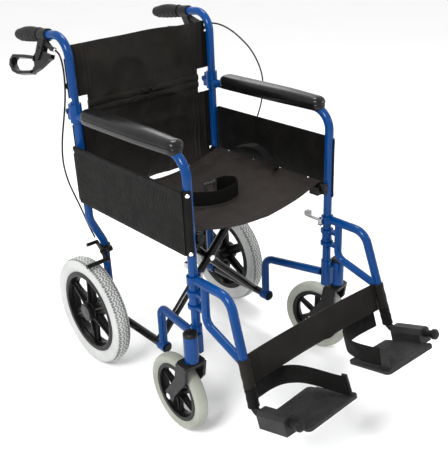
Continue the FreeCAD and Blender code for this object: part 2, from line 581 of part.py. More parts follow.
def back_sling():
    """One panel behind both canes, notched around the folding joints."""
    sling = box((-236, 236), (CANE_Y + TUBE_R + 0.5, CANE_Y + TUBE_R + 2.7), (495, 887))
    for side in (-1, 1):
        notch = box((180, 260), (200, 300), (690, 758))
        hole = cylinder(V(CANE_X, 200, LATCH_Z), V(CANE_X, 300, LATCH_Z), 4)
        corner = box((211, 260), (200, 300), (857, 900))
        low_corner = box((207, 260), (200, 300), (480, 521))
        for cutter in (notch, hole, corner, low_corner):
            sling = sling.cut(cutter if side > 0 else mirrored(cutter))
    return sling


def calf_band():
    places = [(side * x, a, 93) for side, row in (
        (-1, [(221, -5), (150, -16), (75, -22)]), (1, [(0, -24), (75, -22), (150, -16), (221, -5)]))
        for x, a in row]
    return strip([on_plate(*p) for p in places], UPLEG, 70, 2.4)


def lap_belt():
    """Two webbing straps on the seat, from the third screw of each rail, one with the buckle."""
    near = [(-192, 70), (-150, 40), (-100, -8), (-50, -34), (0, -42), (42, -34), (60, -8), (50, 18), (22, 26)]
    near = strip([V(x, y, seat_top(x) + 20.4) for x, y in near], Z, 38, 2.0)
    far = [V(184, -34, 536.5), V(194, 6, 554), V(206, 50, 566), V(210, 95, 564), V(212, 140, 551)]
    far = strip(far, X, 36, 2.0)
    low = seat_top(0) + 3
    buckle = box((-18, 21), (20, 30), (low, low + 34))
    return Part.makeCompound([near, far, buckle])


# ---- put together ---------------------------------------------------------------------
def mirrored(shape):
    return shape.mirror(V(0, 0, 0), X)


def both_sides(name, shape):
    parts["left_" + name] = shape
    parts["right_" + name] = mirrored(shape)


for piece in (side_frame, frame_fittings, skirt_guard, frame_screws, arm_pad, back_cane, handgrip,
              brake_bracket, brake_lever, back_latch, rear_wheel, rear_axle, hanger, hanger_latch,
              plate_axle, footplate, heel_loop, brake_mount, brake_shoe):
    both_sides(piece.__name__, piece())
both_sides("rear_tyre", tyre(V(REAR_WHEEL_X, AXLE_Y, REAR_WHEEL_R), X, Z, REAR_WHEEL_R, 118.2, REAR_TYRE_W, 14))

for name, shape in caster().items():
    for side, sign in (("left", 1), ("right", -1)):
        made = shape if sign > 0 else mirrored(shape)
        # rotate() changes the shape in place, so it works on a copy
        made = made.copy()
        made.rotate(V(sign * STEM_X, STEM_Y, 0), Z, CASTER_ANGLE[side])
        parts[f"{side}_{name}"] = made

for side, sign, y in (("left", 1, BRACE_Y + BRACE_GAP_Y), ("right", -1, BRACE_Y - BRACE_GAP_Y)):
    parts[f"{side}_cross_arm"], cross_z = cross_arm(sign, y)
    parts[f"{side}_seat_screws"] = seat_screws(-sign)
    parts[f"{side}_brake_cable"] = brake_cable(side)
parts["cross_bolt"] = cross_bolt(cross_z)
for piece in (seat_sling, back_sling, calf_band, lap_belt):
    parts[piece.__name__] = piece()

os.makedirs("parts", exist_ok=True)
for name, shape in parts.items():
    moved = shape.copy()
    moved.translate(Y * -CENTRE_Y)
    moved.exportStep(f"parts/{name}.step")
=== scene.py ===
"""Looks of the folding transport wheelchair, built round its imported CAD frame. Metres.
X runs to the user's left, Y to the rear, Z up."""
import json
from math import atan2, copysign, cos, exp, hypot, pi, radians, sin, sqrt

import bpy
from mathutils import Matrix, Vector, noise


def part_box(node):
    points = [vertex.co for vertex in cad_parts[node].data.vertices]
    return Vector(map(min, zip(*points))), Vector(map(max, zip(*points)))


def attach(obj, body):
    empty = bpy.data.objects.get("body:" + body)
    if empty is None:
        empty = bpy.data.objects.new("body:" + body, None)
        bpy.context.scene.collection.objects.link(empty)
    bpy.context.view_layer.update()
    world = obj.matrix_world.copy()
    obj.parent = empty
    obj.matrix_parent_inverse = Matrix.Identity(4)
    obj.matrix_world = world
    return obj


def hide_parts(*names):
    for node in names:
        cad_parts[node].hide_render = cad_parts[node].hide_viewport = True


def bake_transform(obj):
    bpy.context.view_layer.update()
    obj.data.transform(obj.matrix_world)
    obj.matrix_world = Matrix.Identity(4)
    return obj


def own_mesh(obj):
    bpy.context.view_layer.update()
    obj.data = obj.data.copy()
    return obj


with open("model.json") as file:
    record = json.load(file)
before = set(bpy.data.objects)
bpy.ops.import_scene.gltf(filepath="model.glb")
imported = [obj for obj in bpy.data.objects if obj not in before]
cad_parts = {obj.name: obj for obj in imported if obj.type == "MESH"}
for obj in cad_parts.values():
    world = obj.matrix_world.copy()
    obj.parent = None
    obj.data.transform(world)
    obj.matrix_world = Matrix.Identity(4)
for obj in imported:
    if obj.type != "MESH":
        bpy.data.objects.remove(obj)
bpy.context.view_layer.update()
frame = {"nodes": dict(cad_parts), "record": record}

MM = 0.001
X, Y, Z = Vector((1, 0, 0)), Vector((0, 1, 0)), Vector((0, 0, 1))
SIDES = {"left": 1, "right": -1}
DRAWN_Y = 5.45  # where the CAD drawing's Y zero is in this frame, mm
STITCH_R = 0.55 * MM
STITCH_PITCH, STITCH_LENGTH = 6 * MM, 4 * MM
NYLON_THREAD, STRAP_THREAD = 0.9 * MM, 1.5 * MM  # one thread of each weave

# places shared with the CAD, in its own millimetres
CANE_X, CANE_Y = 224.0, 265.0
POST_X, POST_Y = 227.0, -178.0
RAIL_X, RAIL_Z, RAIL_ENDS = 205.0, 518.0, (-184.0, 252.0)
SEAT_SCREW_Y = (-130.0, -27.0, 75.0, 179.0)
SEAT_TOP_Z, SEAT_SAG, SEAT_FLAT_X = 531.4, 32.0, 190.0
GUARD_X, GUARD_Z = (241.0, 244.5), (485.0, 640.0)
HINGE_Z = 727.0
GRIP_TOP_Z, GRIP_END = 913.0, (515.0, 890.0)
TOE_UP = radians(18.5)
PIVOT = (-385.5, 171.8)
LEG_FOOT_X, LEG = 238.0, 263.8  # the leg tube's X at the footplate's pivot line, and its length
CABLE_R = 2.3 * MM


def at(x, y, z):
    """A place in the CAD drawing's millimetres as a point in this frame."""
    return Vector((x, y + DRAWN_Y, z)) * MM


def seat_top(x):
    """Height of the seat cloth's upper face at that X, in the drawing's millimetres."""
    return SEAT_TOP_Z - SEAT_SAG * max(0.0, 1 - (x / SEAT_FLAT_X) ** 2)


ALONG = Vector((0, -cos(TOE_UP), sin(TOE_UP)))
UPLEG = Vector((0, sin(TOE_UP), cos(TOE_UP)))


def on_plate(x, along, up):
    """A point by its X, and how far it is along the footplate and up the leg tube from the pivot line."""
    return at(x, *PIVOT) + (ALONG * along + UPLEG * up) * MM


def leg_point(sign, up):
    """A point on the leg tube's axis, which leans outwards as it goes down."""
    return on_plate(sign * (LEG_FOOT_X - (LEG_FOOT_X - POST_X) * up / LEG), 0, up)


# ---- camera, light and floor ----
MIDDLE = Vector((0, 0, 0.45))  # the lights point here


def new_object(name, data):
    """An object with that data, in the scene."""
    made = bpy.data.objects.new(name, data)
    bpy.context.scene.collection.objects.link(made)
    return made


def place_camera():
    yaw, pitch, roll = (radians(a) for a in (40.298, 24.948, -2.452))
    forward = Vector((sin(yaw) * cos(pitch), cos(yaw) * cos(pitch), -sin(pitch)))
    level = Vector((cos(yaw), -sin(yaw), 0))
    above = level.cross(forward)
    right = level * cos(roll) + above * sin(roll)
    up = above * cos(roll) - level * sin(roll)
    data = bpy.data.cameras.new("camera")
    data.sensor_width, data.lens = 36, 58.28
    camera = new_object("camera", data)
    camera.matrix_world = Matrix((right, up, -forward)).transposed().to_4x4()
    camera.location = (-1.10063, -1.31817, 1.22299)
    bpy.context.scene.camera = camera


def softbox(name, place, size, power):
    data = bpy.data.lights.new(name, "AREA")
    data.shape, data.size, data.energy = "SQUARE", size, power
    light = new_object(name, data)
    light.location = place
    light.rotation_euler = (MIDDLE - Vector(place)).to_track_quat("-Z", "Y").to_euler()


def studio():
    world = bpy.data.worlds.new("studio")
    world.use_nodes = True
    background = world.node_tree.nodes["Background"].inputs
    background["Color"].default_value = (1, 1, 1, 1)
    background["Strength"].default_value = 0.95
    bpy.context.scene.world = world
    bpy.context.scene.view_settings.view_transform = "Standard"
    softbox("key", (-2.1, -0.9, 2.4), 0.9, 70)
    softbox("over", (0.5, 0.5, 2.7), 0.8, 30)
    softbox("rim", (1.5, 1.9, 2.0), 0.9, 6)
    softbox("fill", (2.4, -1.7, 1.5), 0.5, 9)
    floor_look = Look("floor", Roughness=0.9)
    floor_look.colour(floor_look.blotches(1.5), (0.965, 0.965, 0.965), (0.985, 0.985, 0.985))
    bpy.ops.mesh.primitive_plane_add(size=30, location=(0, 0, 0))
    floor = bpy.context.object
    floor.name = "floor"
    floor.data.materials.append(floor_look.material)


# ---- materials ----
LOOKS = {}


class Look:
    """A node material, kept in LOOKS: its Principled shader and the nodes that feed it."""

    def __init__(self, name, **settings):
        self.material = bpy.data.materials.new(name)
        self.material.use_nodes = True
        LOOKS[name] = self.material
        self.nodes = self.material.node_tree.nodes
        self.links = self.material.node_tree.links
        self.shader = self.nodes["Principled BSDF"]
        self.place = self.nodes.new("ShaderNodeTexCoord").outputs["Object"]
        for socket, value in settings.items():
            self.shader.inputs[socket.replace("_", " ")].default_value = value

    def node(self, kind, inputs, **settings):
        """A new node; inputs maps a socket's name or number to a value or to another socket."""
        made = self.nodes.new("ShaderNode" + kind)
        for name, value in settings.items():
            setattr(made, name, value)
        for socket, value in inputs.items():
            if isinstance(value, bpy.types.NodeSocket):
                self.links.new(value, made.inputs[socket])
            else:
                made.inputs[socket].default_value = value
        return made

    def blotches(self, scale, detail=3.0):
        """Noise from 0 to 1 with scale blotches to the metre."""
        return self.node("TexNoise", {"Vector": self.place, "Scale": scale, "Detail": detail}).outputs[0]

    def spread(self, value, low, high, start=0.3, end=0.7):
        """value, from start to end, spread out from low to high."""
        inputs = {"Value": value, "From Min": start, "From Max": end, "To Min": low, "To Max": high}
        return self.node("MapRange", inputs).outputs["Result"]

    def maths(self, operation, *values):
        return self.node("Math", dict(enumerate(values)), operation=operation).outputs[0]

    def mixed(self, share, a, b):
        """Colour a, turning to b as share goes from 0 to 1."""
        a, b = (c if isinstance(c, bpy.types.NodeSocket) else (*c, 1) for c in (a, b))
        return self.node("Mix", {0: share, 6: a, 7: b}, data_type="RGBA").outputs[2]

    def colour(self, share, a, b, wear=None, worn=None):
        """Base colour between a and b, and worn where wear is 1."""
        made = self.mixed(self.spread(share, 0, 1), a, b)
        if wear is not None:
            made = self.mixed(wear, made, worn)
        self.links.new(made, self.shader.inputs["Base Color"])

    def rough(self, share, low, high):
        self.links.new(self.spread(share, low, high), self.shader.inputs["Roughness"])

    def relief(self, height, distance, edge=None):
        """Bump of that height in metres, over rounded edges of radius edge."""
        inputs = {"Height": height, "Strength": 1.0, "Distance": distance}
        if edge:
            inputs["Normal"] = self.node("Bevel", {"Radius": edge}, samples=4).outputs[0]
        self.links.new(self.node("Bump", inputs).outputs[0], self.shader.inputs["Normal"])

    def scuffs(self, scale=60, share=0.35):
        """Small worn patches: mostly 0, up to share."""
        return self.spread(self.blotches(scale, 8), 0, share, 0.66, 0.74)

    def cloth_place(self, thread):
        """The flat cloth's place, one unit to a thread: as a vector, and its u and v apart."""
        uv = self.node("UVMap", {}, uv_map="cloth").outputs[0]
        scaled = self.node("VectorMath", {0: uv, 3: 1 / thread}, operation="SCALE").outputs[0]
        split = self.node("SeparateXYZ", {0: scaled})
        return scaled, split.outputs[0], split.outputs[1]

    def ridge(self, value):
        """A round ridge once in each unit of value."""
        return self.maths("SINE", self.maths("MULTIPLY", value, pi))


def enamel(name, dark, light, coat):
    look = Look(name, Coat_Weight=coat, Coat_Roughness=0.05, Specular_IOR_Level=0.06)
    worn = tuple(0.8 * c + 0.02 for c in light)
    look.colour(look.blotches(7), dark, light, look.scuffs(45, 0.3), worn)
    look.rough(look.blotches(60), 0.16, 0.3)
    look.relief(look.blotches(420, 2), 0.00004, 0.0008)


def moulded(name, dark, light, rough, grain=900, depth=0.00006, edge=0.0008, shine=0.18):
    look = Look(name, Specular_IOR_Level=shine)
    worn = tuple(2.2 * c + 0.004 for c in light)
    look.colour(look.blotches(25), dark, light, look.scuffs(), worn)
    look.rough(look.blotches(80), *rough)
    look.relief(look.blotches(grain, 2), depth, edge)


def padded_skin(name, dark, light, rough):
    look = Look(name, Specular_IOR_Level=0.26)
    look.colour(look.blotches(25), dark, light)
    look.rough(look.blotches(60), *rough)
    look.relief(look.blotches(260, 3), 0.00004)


def metal(name, colour, rough):
    look = Look(name, Metallic=1.0)
    look.colour(look.blotches(120), tuple(0.8 * c for c in colour), colour)
    look.rough(look.blotches(200, 4), *rough)
    look.relief(look.blotches(600, 3), 0.00002, 0.0004)


def tyre_rubber(name, dark, light, dust, rough):
    look = Look(name, Specular_IOR_Level=0.35)
    look.colour(look.blotches(14), dark, light, look.scuffs(22, 0.4), dust)
    look.rough(look.blotches(50), *rough)
    look.relief(look.blotches(520, 4), 0.00012)


def woven(name, dark, light, rough, depth, sheen, mottle):
    """Plain weave: each thread passes over and under in turn."""
    look = Look(name, Sheen_Weight=sheen, Sheen_Roughness=0.4, Specular_IOR_Level=0.11)
    place, across, along = look.cloth_place(NYLON_THREAD)
    over = look.node("TexChecker", {"Vector": place, "Scale": 1.0}).outputs[1]
    up, down = look.ridge(across), look.ridge(along)
    height = look.node("Mix", {0: over, 2: up, 3: down}).outputs[0]
    worn = tuple(1.8 * c for c in light)
    look.colour(look.blotches(mottle, 5), dark, light, look.scuffs(55, 0.25), worn)
    look.rough(look.blotches(mottle, 4), *rough)
    look.relief(look.maths("ADD", height, look.blotches(240, 3)), depth)


def webbing(name, dark, light):
    """Narrow strap weave: ribs along the strap crossed by fine picks."""
    look = Look(name, Sheen_Weight=0.02, Specular_IOR_Level=0.1)
    _, along, across = look.cloth_place(STRAP_THREAD)
    picks = look.ridge(look.maths("ADD", along, look.maths("MULTIPLY", across, 0.5)))
    height = look.maths("MULTIPLY", look.ridge(across), picks)
    # painted shade and highlight: the colour follows the weave's height, dark in the hollows between threads
    # and light on the thread tops
    look.colour(height, dark, light)
    look.rough(look.blotches(60), 0.5, 0.75)
    look.relief(height, 0.00025)


def make_looks():
    black = (0.003, 0.003, 0.0032), (0.008, 0.0078, 0.0076)
    dust = (0.42, 0.41, 0.4)
    enamel("frame_blue", (0.0005, 0.031, 0.132), (0.0005, 0.042, 0.176), 0.28)
    enamel("brace_black", (0.003, 0.003, 0.003), (0.006, 0.006, 0.006), 0.4)
    moulded("moulded_black", *black, (0.38, 0.52))
    moulded("guard_black", (0.004, 0.0038, 0.0036), (0.0078, 0.0073, 0.0068), (0.4, 0.54), 500, 0.0001,
            shine=0.07)
    metal("screw_chrome", (0.86, 0.86, 0.87), (0.08, 0.2))
    metal("axle_steel", (0.5, 0.5, 0.51), (0.28, 0.42))
    padded_skin("pad_black", *black, (0.2, 0.27))
    moulded("grip_rubber", (0.007, 0.007, 0.007), (0.014, 0.013, 0.013), (0.5, 0.66), 600, 0.0002)
    moulded("bracket_grey", (0.006, 0.006, 0.006), (0.012, 0.0115, 0.0115), (0.4, 0.55))
    moulded("lever_black", *black, (0.26, 0.38))
    tyre_rubber("tyre_grey", (0.42, 0.433, 0.42), (0.52, 0.53, 0.515), dust, (0.6, 0.78))
    # painted shade: tread_groove is the same rubber as tyre_grey, made much darker to stand in for the shade
    # inside the tread's grooves
    tyre_rubber("tread_groove", (0.12, 0.12, 0.12), (0.17, 0.17, 0.17), dust, (0.7, 0.85))
    moulded("wheel_black", *black, (0.3, 0.44))
    tyre_rubber("caster_tyre_grey", (0.24, 0.25, 0.21), (0.32, 0.334, 0.29), (0.22, 0.22, 0.19), (0.38, 0.52))
    moulded("fork_black", (0.007, 0.007, 0.007), (0.013, 0.0128, 0.0125), (0.3, 0.42))
    moulded("footplate_grey", (0.013, 0.013, 0.013), (0.022, 0.022, 0.0215), (0.42, 0.56))
    webbing("webbing_black", (0.0025, 0.0022, 0.002), (0.009, 0.008, 0.0072))
    moulded("cable_black", *black, (0.25, 0.36), 1500, 0.00002, None)
    woven("seat_nylon", (0.0145, 0.0115, 0.0102), (0.024, 0.0192, 0.0172), (0.5, 0.68), 0.00014, 0.02, 26)
    woven("back_nylon", (0.0062, 0.0052, 0.0043), (0.0145, 0.0122, 0.01), (0.34, 0.5), 0.00012, 0.01, 16)
    webbing("thread", (0.008, 0.007, 0.0062), (0.022, 0.019, 0.017))
    moulded("hub_cap", (0.04, 0.038, 0.038), (0.062, 0.058, 0.057), (0.35, 0.5))
    webbing("belt_pad", (0.014, 0.012, 0.011), (0.032, 0.028, 0.025))
    moulded("bolt_white", (0.75, 0.75, 0.74), (0.85, 0.85, 0.84), (0.2, 0.3))


# ---- mesh building ----
class Build:
    """Gathers vertices and faces of one piece."""

    def __init__(self):
        self.vertices, self.faces, self.uvs, self.slots = [], [], [], []

    def add(self, vertices, faces, uvs=None, slot=0):
        start = len(self.vertices)
        self.vertices += vertices
        self.uvs += uvs or [(v.x, v.y + v.z) for v in vertices]
        self.faces += [tuple(start + k for k in f) for f in faces]
        self.slots += [slot] * len(faces)

    def finish(self, name, *looks, sharp=38):
        used = sorted({k for f in self.faces for k in f})
        order = {k: i for i, k in enumerate(used)}
        mesh = bpy.data.meshes.new(name)
        mesh.from_pydata([self.vertices[k] for k in used], [], [[order[k] for k in f] for f in self.faces])
        layer = mesh.uv_layers.new(name="cloth")
        for loop in mesh.loops:
            layer.data[loop.index].uv = self.uvs[used[loop.vertex_index]]
        for look in looks:
            mesh.materials.append(LOOKS[look])
        for polygon, slot in zip(mesh.polygons, self.slots):
            polygon.material_index = slot
        mesh.shade_smooth()
        mesh.set_sharp_from_angle(angle=radians(sharp))
        mesh.validate()
        return new_object(name, mesh)


def steps(low, high, count):
    return [low + (high - low) * i / count for i in range(count + 1)]


def with_lines(values, lines, half, *edges):
    """Grid values with closer ones around each seam line, and the edges of what is cut away."""
    low, high = min(values), max(values)
    extra = [line + d for line in lines for d in (-half, -half / 2, 0, half / 2, half)]
    kept = [v for v in values if all(abs(v - e) > half * 0.6 for e in extra)]
    return sorted(set(kept + [v for v in (*extra, *edges) if low < v < high] + [low, high]))


def cloth(build, surface, us, vs, thick, keep=lambda u, v: True):
    """A closed skin of two layers round surface(u, v), with u and v the flat cloth's own metres."""
    tiny = 0.2 * MM
    uvs = [(u, v) for u in us for v in vs]
    front, back = [], []
    for u, v in uvs:
        across = surface(u + tiny, v) - surface(u - tiny, v)
        along = surface(u, v + tiny) - surface(u, v - tiny)
        out = across.cross(along).normalized() * (thick(u, v) / 2)
        front.append(surface(u, v) + out)
        back.append(surface(u, v) - out)
    rows, count = len(vs), len(front)
    faces, edges = [], set()
    for i in range(len(us) - 1):
        for j in range(rows - 1):
            if not keep((us[i] + us[i + 1]) / 2, (vs[j] + vs[j + 1]) / 2):
                continue
            a, b = i * rows + j, (i + 1) * rows + j
            loop = (a, b, b + 1, a + 1)
            faces += [loop, tuple(count + k for k in reversed(loop))]
            edges |= set(zip(loop, loop[1:] + loop[:1]))
    faces += [(b, a, count + a, count + b) for a, b in sorted(edges) if (b, a) not in edges]
    build.add(front + back, faces, uvs + uvs)


def stitches(build, surface, line, lift):
    """Threads, in the second look, on both faces of the cloth between a straight seam's two (u, v) ends."""
    (u0, v0), (u1, v1) = line
    run = hypot(u1 - u0, v1 - v0)
    du, dv = (u1 - u0) / run, (v1 - v0) / run
    for i in range(int(run / STITCH_PITCH)):
        s = (i + 0.5) * STITCH_PITCH
        ends = [surface(u0 + du * t, v0 + dv * t) for t in (s - STITCH_LENGTH / 2, s + STITCH_LENGTH / 2)]
        side = surface(u0 + du * s - dv * MM, v0 + dv * s + du * MM) - surface(u0 + du * s, v0 + dv * s)
        along = ends[1] - ends[0]
        out = along.cross(side).normalized()
        side = out.cross(along).normalized() * STITCH_R
        for face in (1, -1):
            low, high = out * (face * (lift - 0.3 * MM)), out * (face * (lift + 0.3 * MM))
            corners = [e + h + w for e in ends for h in (low, high) for w in (-side, side)]
            add_box(build, corners, face > 0, slot=1)


def add_box(build, corners, outward=True, slot=0):
    """Eight corners, in the order end, height, side, each low then high."""
    faces = [(0, 1, 3, 2), (4, 6, 7, 5), (0, 4, 5, 1), (2, 3, 7, 6), (0, 2, 6, 4), (1, 5, 7, 3)]
    if not outward:
        faces = [tuple(reversed(f)) for f in faces]
    build.add(corners, faces, slot=slot)


def round_about(axis, start, count):
    """Angles round the axis, each with its direction."""
    side = axis.cross(start)
    angles = [2 * pi * i / count for i in range(count)]
    return [(angle, start * cos(angle) + side * sin(angle)) for angle in angles]


def lathe(build, outline, centre, axis, start, turns, relief=None, groove=None):
    """Turns a closed outline of (radius, distance along the axis) points about the axis.

    Faces that the relief sinks deeper than groove take the piece's second look."""
    count = len(outline)
    vertices, uvs, sunk = [], [], []
    for angle, out in round_about(axis, start, turns):
        for radius, along in outline:
            change = relief(angle, radius, along) if relief else 0
            sunk.append(groove is not None and change < -groove)
            vertices.append(centre + out * (radius + change) + axis * along)
            uvs.append((angle * outline[0][0], along))
    faces = []
    for i in range(turns):
        a, b = i * count, (i + 1) % turns * count
        faces += [(a + j, a + (j + 1) % count, b + (j + 1) % count, b + j) for j in range(count)]
    build.add(vertices, faces, uvs)
    build.slots[-len(faces):] = [int(sum(sunk[k] for k in f) >= 2) for f in faces]


def disc(build, outline, centre, axis, start, turns):
    """Turns an open outline with both its ends on the axis."""
    rings = outline[1:-1]
    spokes = round_about(axis, start, turns)
    vertices = [centre + axis * outline[0][1]]
    vertices += [centre + out * radius + axis * along for radius, along in rings for _, out in spokes]
    vertices.append(centre + axis * outline[-1][1])
    last = len(vertices) - 1
    top = last - turns
    faces = []
    for i in range(turns):
        n = (i + 1) % turns
        faces.append((0, 1 + n, 1 + i))
        faces += [(a + i, a + n, a + turns + n, a + turns + i) for a in range(1, top, turns)]
        faces.append((last, top + i, top + n))
    build.add(vertices, faces)


def in_metres(outline):
    """An outline's (radius, distance) points, given in millimetres."""
    return [(radius * MM, along * MM) for radius, along in outline]


def join_rings(build, vertices, uvs, count):
    """Joins rings of count points each, and closes the first and the last ring."""
    last = len(vertices) - count
    faces = [(a + k, a + (k + 1) % count, a + count + (k + 1) % count, a + count + k)
             for a in range(0, last, count) for k in range(count)]
    faces += [tuple(reversed(range(count))), tuple(last + k for k in range(count))]
    build.add(vertices, faces, uvs)


def smooth_path(points):
    """Points of a smooth curve through the given ones."""
    ends = [points[0] * 2 - points[1], *points, points[-1] * 2 - points[-2]]
    per_span = 8
    made = []
    for a, b, c, d in zip(ends, ends[1:], ends[2:], ends[3:]):
        for i in range(per_span):
            t = i / per_span
            made.append(0.5 * (2 * b + (c - a) * t + (2 * a - 5 * b + 4 * c - d) * t * t
                               + (3 * b - a - 3 * c + d) * t ** 3))
    return made + [points[-1]]


def direction(path, i):
    return (path[min(i + 1, len(path) - 1)] - path[max(i - 1, 0)]).normalized()


def ribbon(build, path, across, width, thick):
    """A strap along the path with rounded edges; width(share) is its width at that share of its length."""
    upper = [(-0.47, 0.42), (-0.36, 0.5), (0, 0.5), (0.36, 0.5), (0.47, 0.42)]
    section = [(-0.5, 0), *upper, (0.5, 0), *((w, -t) for w, t in reversed(upper))]
    lengths = [0.0]
    for a, b in zip(path, path[1:]):
        lengths.append(lengths[-1] + (b - a).length)
    vertices, uvs = [], []
    for i, p in enumerate(path):
        out = direction(path, i).cross(across).normalized()
        wide = width(lengths[i] / lengths[-1])
        vertices += [p + across * (w * wide) + out * (t * thick) for w, t in section]
        uvs += [(lengths[i], w * wide) for w, t in section]
    join_rings(build, vertices, uvs, len(section))


def bell(x, width):
    return exp(-(x / width) ** 2)


def ripple(x, y, z):
    """Smooth noise from -1 to 1."""
    return noise.noise(Vector((x, y, z)))


def crease(x, y, z):
    """Sharp ridges from 0 to 1 along the zero lines of smooth noise."""
    return (1 - min(1.0, 2.2 * abs(ripple(x, y, z)))) ** 2


# ---- seat ----
SEAT_SEAMS = (187 * MM, 180 * MM)
SEAT_WRAP = 12.2 * MM  # from the rail's middle to the middle of the cloth
SEAT_HEM_X, SCREW_X = 196 * MM, 198 * MM  # where the hems' stitches end, and the puckers' middle


def seat():
    lo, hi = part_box("seat_sling")
    rail_x, rail_z, flat_x = RAIL_X * MM, RAIL_Z * MM, SEAT_FLAT_X * MM
    half = rail_x + SEAT_WRAP * pi / 2
    screws = [(y + DRAWN_Y) * MM for y in SEAT_SCREW_Y]

    def surface(u, v):
        s, side = abs(u), copysign(1, u)
        if s > rail_x:
            a = (s - rail_x) / SEAT_WRAP
            return Vector((side * (rail_x + SEAT_WRAP * sin(a)), v, rail_z + SEAT_WRAP * cos(a)))
        inner = max(0.0, 1 - (s / flat_x) ** 2)
        fore = (v - lo.y) / (hi.y - lo.y)
        z = rail_z + SEAT_WRAP - (SEAT_TOP_Z - seat_top(u / MM)) * MM
        z += inner * MM * (2.2 * ripple(u * 11, v * 9, 2.0) + 0.7 * ripple(u * 40, v * 34, 5.0))
        z -= inner * MM * (2.5 * sin(pi * fore) + 1.6 * crease(u * 7, v * 5, 3.0))
        for seam in SEAT_SEAMS:
            z -= 1.5 * MM * bell(s - seam, 2.0 * MM)
        for y in screws:
            near = bell(v - y, 14 * MM) * bell(s - SCREW_X, 12 * MM)
            z += near * 0.5 * MM * sin((v - y) / (3.2 * MM))
        return Vector((u, v, z))

    def thick(u, v):
        hem = max(bell(v - lo.y - 6 * MM, 7 * MM), bell(hi.y - v - 6 * MM, 7 * MM))
        return 2.3 * MM + 2.6 * MM * hem * (1 if abs(u) < flat_x else 0.15)

    lines = [side * s for s in SEAT_SEAMS for side in (-1, 1)]
    hems = [lo.y + 15 * MM, hi.y - 15 * MM]
    corner_x, corner_y = 213 * MM, (POST_Y + 13 + DRAWN_Y) * MM
    us = with_lines(steps(-half, half, 64), lines, 3 * MM, -corner_x, corner_x)
    vs = with_lines(steps(lo.y, hi.y, 48), hems, 4 * MM, corner_y)
    build = Build()
    cloth(build, surface, us, vs, thick, lambda u, v: abs(u) < corner_x or v > corner_y)
    for u in lines:
        stitches(build, surface, ((u, lo.y + 4 * MM), (u, hi.y - 4 * MM)), 1.2 * MM)
    for v in hems:
        stitches(build, surface, ((-SEAT_HEM_X, v), (SEAT_HEM_X, v)), 1.45 * MM)
    piece = build.finish("seat_cloth", "seat_nylon", "thread")
    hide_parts("seat_sling")
    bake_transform(piece)


# ---- back ----
BACK_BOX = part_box("back_sling")
BACK_SEAMS = (201 * MM, 177 * MM, 166 * MM)
NOTCH = (180 * MM, 690 * MM, 758 * MM)  # cut out round the folding joint: inner edge, bottom, top
CORNERS = (213 * MM, 521 * MM, 857 * MM)  # cut off outside this X, below and above these heights
PANEL_X, SLEEVE_END = 210 * MM, 237.5 * MM  # the panels' edges, and the sleeves' outer edges
SLACK_X, BACK_HEM_X = 200 * MM, 205 * MM  # the cloth is taut beyond the first, and its hems end at the other
BAND = (HINGE_Z - 22) * MM, (HINGE_Z + 16) * MM  # the fold band's lower and upper edges
BACK_DROP = 14 * MM  # how far the cloth hangs below the box of the drawn back


def back_surface(u, v):
    """The back's cloth: behind both canes, hanging back a little between them."""
    lo, hi = BACK_BOX
    cane_x, behind = CANE_X * MM, (lo.y + hi.y) / 2
    s, side = abs(u), copysign(1, u)
    wrap = behind - (CANE_Y + DRAWN_Y) * MM
    if s > cane_x:
        a = (s - cane_x) / wrap
        return Vector((side * (cane_x + wrap * sin(a)), behind - wrap * (1 - cos(a)), v))
    inner = max(0.0, 1 - (s / SLACK_X) ** 2)
    up = abs(v - HINGE_Z * MM)
    slack = 13 * MM * inner ** 2 * (0.45 + 0.55 * min(1, up / 0.09))
    puckers = bell(up - 0.012, 0.034) * 1.9 * MM * ripple(u * 62, v * 12, 3.0) * min(1, inner * 3)
    reach, turn = hypot(u, up), atan2(v - HINGE_Z * MM, u)
    rays = bell(reach - 0.035, 0.03) * 2.2 * MM * crease(3.1 * cos(turn), 3.1 * sin(turn), 5.0)
    folds = 11 * MM * ripple(u * 8 + v * 6, v * 10 - u * 4, 1.0) + 1.5 * MM * ripple(u * 30, v * 22, 7.0)
    creases = 6.5 * MM * crease(u * 6 + v * 5, v * 6 - u * 4, 2.0)
    creases += 2.2 * MM * crease(u * 16, v * 9 + u * 6, 8.0)
    y = behind + slack + puckers + (folds + rays - creases) * min(1, inner * 1.6)
    for seam in BACK_SEAMS:
        y -= 2.0 * MM * bell(s - seam, 2.6 * MM)
    return Vector((u, y, v))


def back_kept(u, v):
    """Whether the back has cloth there: its notches and corners are cut away."""
    notch = abs(u) > NOTCH[0] and NOTCH[1] < v < NOTCH[2]
    return not (notch or (abs(u) > CORNERS[0] and not CORNERS[1] < v < CORNERS[2]))


def back_part(name, low, high, hem, bodies):
    """One panel of the back, and the sleeve at each end that rides its own cane.

    Bodies is what the two bodies that carry it are called after their side."""
    lines = [side * s for s in BACK_SEAMS for side in (-1, 1)]
    rows = round((high - low) / (5 * MM))
    vs = with_lines(steps(low, high, rows), [hem], 3 * MM, *NOTCH[1:], *CORNERS[1:])

    def thick(u, v):
        return 2.2 * MM + 1.3 * MM * bell(v - hem, 9 * MM)

    build = Build()
    us = with_lines(steps(-PANEL_X, PANEL_X, 84), lines, 3 * MM, -NOTCH[0], NOTCH[0])
    cloth(build, back_surface, us, vs, thick, back_kept)
    for u in lines:
        start, end = low, high
        if abs(u) > NOTCH[0]:
            start, end = (NOTCH[2], high) if low > NOTCH[1] else (low, NOTCH[1])
        stitches(build, back_surface, ((u, start + 3 * MM), (u, end - 3 * MM)), 1.2 * MM)
    stitches(build, back_surface, ((-BACK_HEM_X, hem), (BACK_HEM_X, hem)), 1.6 * MM)
    panel = build.finish(name, "back_nylon", "thread")
    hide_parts("back_sling")
    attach(panel, "right_" + bodies)
    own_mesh(panel)
    for side, sign in SIDES.items():
        build = Build()
        us = sorted(sign * u for u in steps(PANEL_X, SLEEVE_END, 7) + [CORNERS[0], CANE_X * MM])
        cloth(build, back_surface, us, vs, thick, back_kept)
        sleeve = build.finish(f"{side}_{name}_sleeve", "back_nylon", "thread")
        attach(sleeve, f"{side}_{bodies}")


